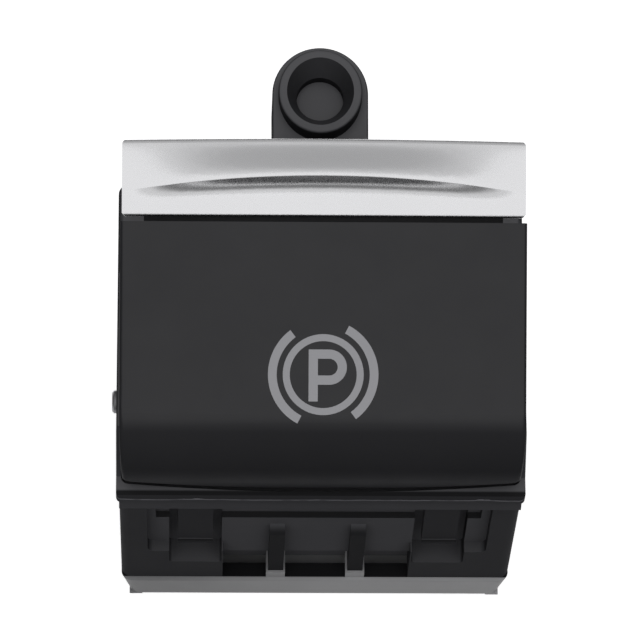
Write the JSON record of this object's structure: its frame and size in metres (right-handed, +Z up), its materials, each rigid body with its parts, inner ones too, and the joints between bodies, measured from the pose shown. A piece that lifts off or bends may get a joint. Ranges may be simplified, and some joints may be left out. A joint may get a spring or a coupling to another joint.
{
  "type": "parking brake switch",
  "caption": "Console rocker switch for a parking brake: sprung tilting button with a bright finger lip and lit sign, in a snap-together casing with a screw ear and a plug socket below.",
  "frame": {"origin": "on the underside of the base cover's plinth, straight below the rocker's pivot axis, midway across the width", "axes": "+Z up out of the console, +Y to the rear towards the mounting ear, +X along the pivot axis to the right"},
  "size_m": [0.043, 0.0491, 0.0492],
  "materials": {
    "satin_chrome": "satin",
    "soft_black": "fine matte soft-touch lacquer",
    "frame_black": "fine moulded grain",
    "housing_black": "moulded, slightly glossy",
    "cover_grey": "moulded grey",
    "inner_plastic": "moulded",
    "chassis_white": "moulded",
    "sign_white": "translucent inlay, unlit",
    "clear_guide": "clear moulded",
    "pin_steel": "ground",
    "pin_gold": "plated",
    "board_green": "solder mask",
    "lamp_body": "lamp body",
    "part_black": "component bodies"
  },
  "bodies": {
    "casing": {"bezel_frame": "frame_black", "mounting_ear": "frame_black", "housing": "housing_black", "base_cover": "cover_grey", "pivot_pin_left": "pin_steel", "pivot_pin_right": "pin_steel", "circuit_board": "board_green", "pin_header": "inner_plastic", "connector_pins": "pin_gold", "contact_tracks": "pin_gold", "backlight_lamp": "lamp_body", "board_parts": "part_black", "contact_chassis": "chassis_white", "light_pipe": "clear_guide", "guide_rod_left": "pin_steel", "guide_rod_right": "pin_steel", "return_springs_left": "pin_steel", "return_springs_right": "pin_steel"},
    "rocker": {"rocker_cap": "soft_black", "rocker_carrier": "inner_plastic", "finger_lip": "satin_chrome", "light_guide": "clear_guide", "sign_inlay": "sign_white"},
    "slider_left": {"slider_left": "inner_plastic", "wipers_left": "pin_gold"},
    "slider_right": {"slider_right": "inner_plastic", "wipers_right": "pin_gold"}
  },
  "joints": [
    {"name": "rocker_tilt", "type": "hinge", "parent": "casing", "child": "rocker", "pos_m": [0, 0, 0.0318], "axis": [1, 0, 0], "range_deg": [-5, 6.5], "stiffness_Nm_per_rad": 0.5},
    {"name": "slider_left_run", "type": "slide", "parent": "casing", "child": "slider_left", "axis": [0, 1, 0], "range_m": [-0.0015, 0.00195], "deforming": ["return_springs_left"]},
    {"name": "slider_right_run", "type": "slide", "parent": "casing", "child": "slider_right", "axis": [0, 1, 0], "range_m": [-0.0015, 0.00195], "deforming": ["return_springs_right"]}
  ],
  "couplings": [
    {"joint": "slider_left_run", "follows": "rocker_tilt", "m_per_rad": 0.0162},
    {"joint": "slider_right_run", "follows": "rocker_tilt", "m_per_rad": 0.0162}
  ]
}
